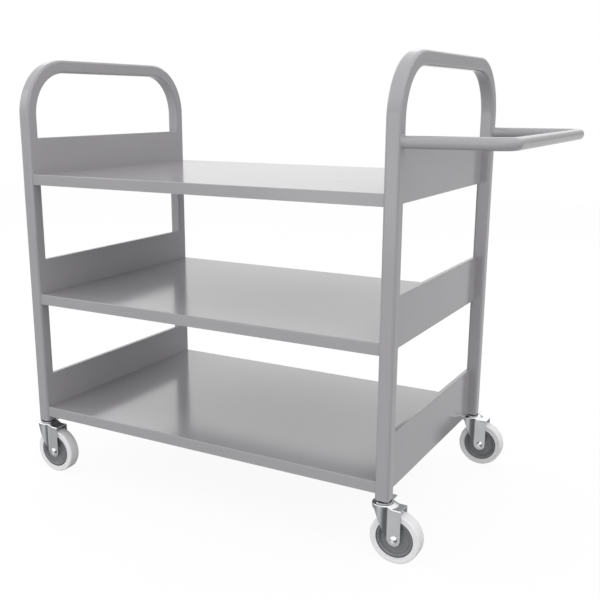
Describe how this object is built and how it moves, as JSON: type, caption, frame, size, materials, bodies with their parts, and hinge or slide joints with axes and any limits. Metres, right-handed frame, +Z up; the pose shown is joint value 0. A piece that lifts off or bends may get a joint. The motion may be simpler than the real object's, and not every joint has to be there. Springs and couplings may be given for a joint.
{
  "type": "book trolley",
  "caption": "Library trolley with flat shelves between bent tube end frames, upturned end panels, a push handle and swivel castors.",
  "frame": {"origin": "centre of the outer box at floor level, under the castors", "axes": "+X along the shelves towards the push handle, +Y from front to back, +Z up"},
  "size_m": [1.08, 0.587, 0.93],
  "materials": {
    "frame_paint": "satin",
    "plated_steel": "bright",
    "plug_plastic": "matte",
    "hub_plastic": "matte",
    "tyre_rubber": "matte"
  },
  "bodies": {
    "frame": {"end_frame_left": "frame_paint", "end_frame_right": "frame_paint", "end_panel_bottom_left": "frame_paint", "end_panel_bottom_right": "frame_paint", "shelf_bottom": "frame_paint", "end_panel_middle_left": "frame_paint", "end_panel_middle_right": "frame_paint", "shelf_middle": "frame_paint", "end_panel_top_left": "frame_paint", "end_panel_top_right": "frame_paint", "shelf_top": "frame_paint", "push_handle": "frame_paint", "swivel_pins": "plated_steel", "leg_plug_front_left": "plug_plastic", "head_plate_front_left": "plated_steel", "leg_plug_front_right": "plug_plastic", "head_plate_front_right": "plated_steel", "leg_plug_back_left": "plug_plastic", "head_plate_back_left": "plated_steel", "leg_plug_back_right": "plug_plastic", "head_plate_back_right": "plated_steel"},
    "fork_front_left": {"castor_fork_front_left": "plated_steel", "castor_race_front_left": "plated_steel", "axle_bolt_front_left": "plated_steel", "axle_nut_front_left": "plated_steel", "axle_bush_front_left": "plated_steel"},
    "wheel_front_left": {"wheel_hub_front_left": "hub_plastic", "tyre_front_left": "tyre_rubber"},
    "fork_front_right": {"castor_fork_front_right": "plated_steel", "castor_race_front_right": "plated_steel", "axle_bolt_front_right": "plated_steel", "axle_nut_front_right": "plated_steel", "axle_bush_front_right": "plated_steel"},
    "wheel_front_right": {"wheel_hub_front_right": "hub_plastic", "tyre_front_right": "tyre_rubber"},
    "fork_back_left": {"castor_fork_back_left": "plated_steel", "castor_race_back_left": "plated_steel", "axle_bolt_back_left": "plated_steel", "axle_nut_back_left": "plated_steel", "axle_bush_back_left": "plated_steel"},
    "wheel_back_left": {"wheel_hub_back_left": "hub_plastic", "tyre_back_left": "tyre_rubber"},
    "fork_back_right": {"castor_fork_back_right": "plated_steel", "castor_race_back_right": "plated_steel", "axle_bolt_back_right": "plated_steel", "axle_nut_back_right": "plated_steel", "axle_bush_back_right": "plated_steel"},
    "wheel_back_right": {"wheel_hub_back_right": "hub_plastic", "tyre_back_right": "tyre_rubber"}
  },
  "joints": [
    {"name": "swivel_front_left", "type": "hinge", "parent": "frame", "child": "fork_front_left", "pos_m": [-0.518, -0.2715, 0.11], "axis": [0, 0, 1], "continuous": true},
    {"name": "spin_front_left", "type": "hinge", "parent": "fork_front_left", "child": "wheel_front_left", "pos_m": [-0.49, -0.2715, 0.05], "axis": [0, 1, 0], "continuous": true},
    {"name": "swivel_front_right", "type": "hinge", "parent": "frame", "child": "fork_front_right", "pos_m": [0.33, -0.2715, 0.11], "axis": [0, 0, 1], "continuous": true},
    {"name": "spin_front_right", "type": "hinge", "parent": "fork_front_right", "child": "wheel_front_right", "pos_m": [0.358, -0.2715, 0.05], "axis": [0, 1, 0], "continuous": true},
    {"name": "swivel_back_left", "type": "hinge", "parent": "frame", "child": "fork_back_left", "pos_m": [-0.518, 0.2605, 0.11], "axis": [0, 0, 1], "continuous": true},
    {"name": "spin_back_left", "type": "hinge", "parent": "fork_back_left", "child": "wheel_back_left", "pos_m": [-0.49, 0.2605, 0.05], "axis": [0, 1, 0], "continuous": true},
    {"name": "swivel_back_right", "type": "hinge", "parent": "frame", "child": "fork_back_right", "pos_m": [0.33, 0.2605, 0.11], "axis": [0, 0, 1], "continuous": true},
    {"name": "spin_back_right", "type": "hinge", "parent": "fork_back_right", "child": "wheel_back_right", "pos_m": [0.358, 0.2605, 0.05], "axis": [0, 1, 0], "continuous": true}
  ]
}
